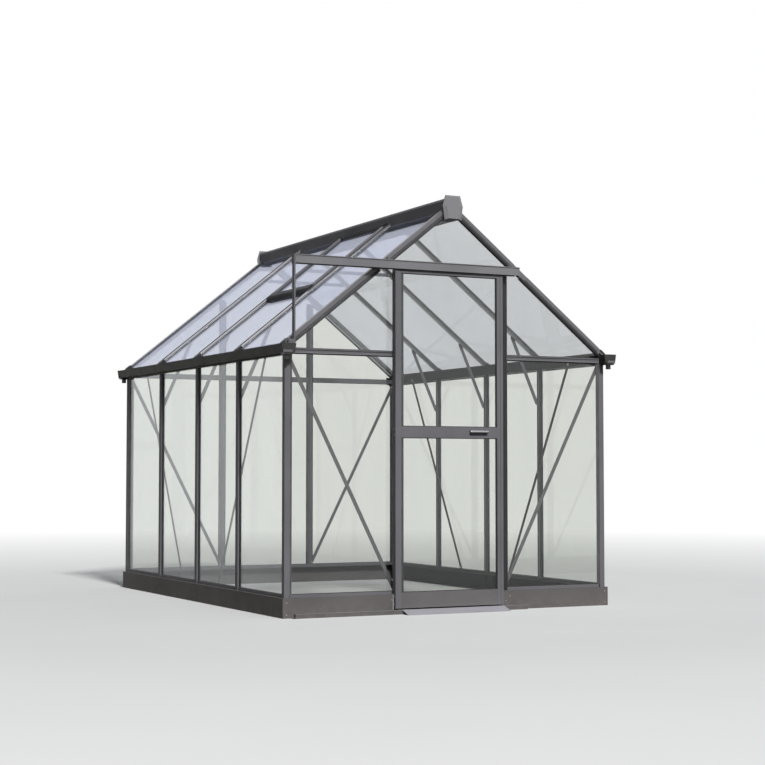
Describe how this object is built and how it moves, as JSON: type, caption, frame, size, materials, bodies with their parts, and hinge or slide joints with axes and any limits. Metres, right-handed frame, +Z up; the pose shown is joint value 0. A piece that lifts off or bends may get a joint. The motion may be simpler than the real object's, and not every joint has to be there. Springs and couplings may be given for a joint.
{
  "type": "glass greenhouse",
  "caption": "Free-standing glass greenhouse with a pitched roof, eave gutters, a roof vent, a low plinth and a sliding door in the front gable.",
  "frame": {"origin": "on the ground, at the middle of the whole footprint, ramp and gutters included", "axes": "+X to the right seen from in front of the door, +Y along the ridge towards the back, +Z up"},
  "size_m": [1.989, 2.7084, 2.183],
  "materials": {
    "frame": "satin",
    "glass": "clear",
    "ramp": "satin",
    "plastic": "matt",
    "roller": "smooth",
    "handle": "satin"
  },
  "bodies": {
    "house": {"base_left": "frame", "base_right": "frame", "base_back": "frame", "base_front": "frame", "base_splices": "frame", "bottom_track": "frame", "entrance_ramp": "ramp", "corner_posts": "frame", "door_posts": "frame", "back_posts": "frame", "sill_rails_sides": "frame", "sill_rails_ends": "frame", "wall_bars_left": "frame", "wall_bars_right": "frame", "gutter_left": "frame", "gutter_right": "frame", "gutter_ends": "plastic", "gable_rails_front": "frame", "gable_rails_back": "frame", "rafters_front": "frame", "rafters_back": "frame", "roof_bars_left": "frame", "roof_bars_right": "frame", "ridge_beam": "frame", "ridge_caps": "frame", "knee_braces": "frame", "collar_ties": "frame", "gable_braces": "frame", "side_braces": "frame", "glass_left": "glass", "glass_right": "glass", "glass_front": "glass", "glass_back": "glass", "glass_roof_left": "glass", "glass_roof_right": "glass", "vent_rails": "frame", "vent_stiles": "frame", "vent_sill": "frame", "vent_glass": "glass", "door_header": "frame", "header_strut": "frame"},
    "door": {"door_stiles": "frame", "door_rails": "frame", "door_kick_panel": "frame", "door_glass": "glass", "door_handle": "handle", "door_hangers": "roller", "door_guides": "plastic"}
  },
  "joints": [
    {"name": "door_slide", "type": "slide", "parent": "house", "child": "door", "axis": [-1, 0, 0], "range_m": [0, 0.555]}
  ]
}
